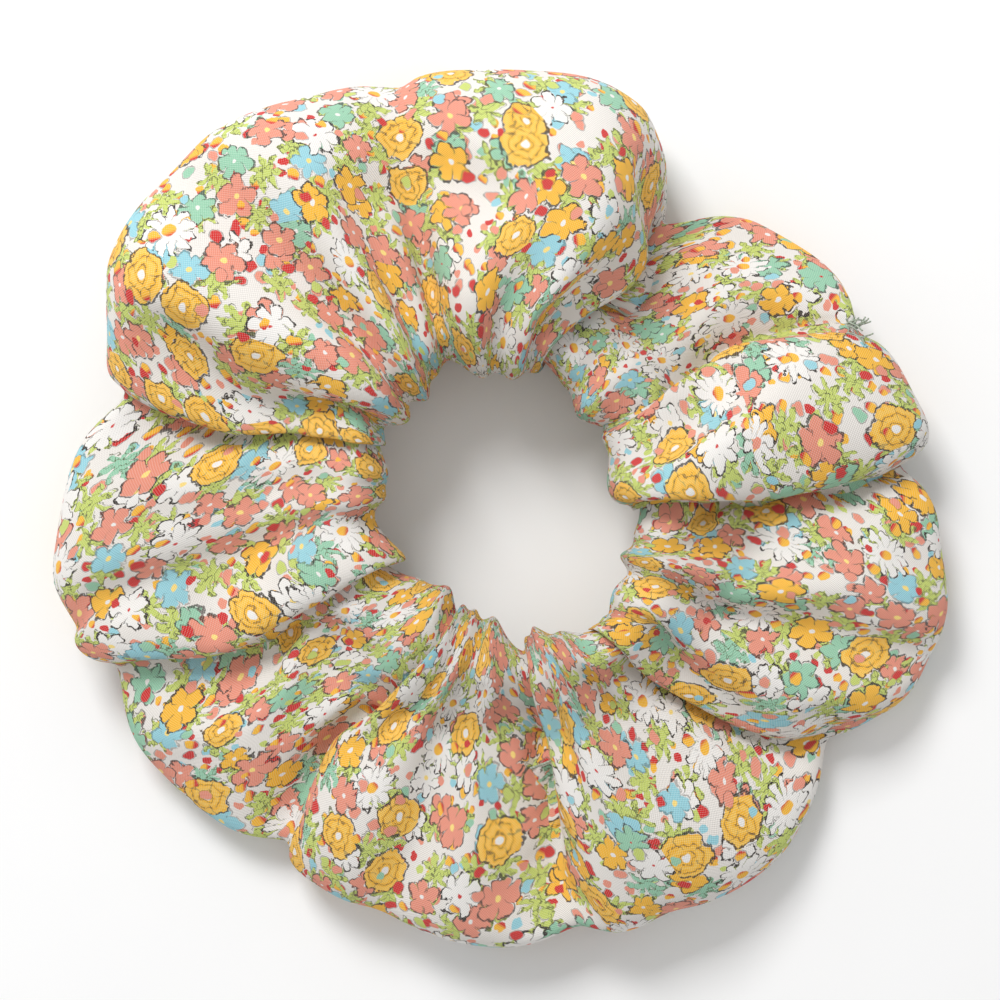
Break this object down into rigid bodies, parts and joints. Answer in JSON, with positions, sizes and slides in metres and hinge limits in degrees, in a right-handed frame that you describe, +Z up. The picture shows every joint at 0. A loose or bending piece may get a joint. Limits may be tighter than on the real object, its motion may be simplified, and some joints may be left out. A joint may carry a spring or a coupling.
{
  "type": "scrunchie",
  "caption": "Gathered cloth-covered elastic hair tie lying flat: a puffy ring of thin floral cotton round a loop of flat braided elastic, which stretches.",
  "frame": {"origin": "centre of the ring's outline, on the surface it lies on", "axes": "+Z up through the hair opening, +X across the ring towards the closing seam's side"},
  "size_m": [0.1163, 0.1139, 0.028],
  "materials": {
    "printed_cotton": "matte",
    "braided_elastic": "matte",
    "sewing_thread": "matte"
  },
  "bodies": {
    "left_half": {"cover_left": "printed_cotton", "elastic_left": "braided_elastic", "tube_seam_thread_left": "sewing_thread"},
    "right_half": {"cover_right": "printed_cotton", "elastic_inner_end": "braided_elastic", "elastic_outer_end": "braided_elastic", "elastic_join_thread": "sewing_thread", "tube_seam_thread_right": "sewing_thread", "closing_seam_thread": "sewing_thread", "thread_tails": "sewing_thread"}
  },
  "joints": [
    {"name": "stretch", "type": "slide", "parent": "left_half", "child": "right_half", "axis": [1, 0, 0], "range_m": [0, 0.06], "stiffness_N_per_m": 60}
  ]
}
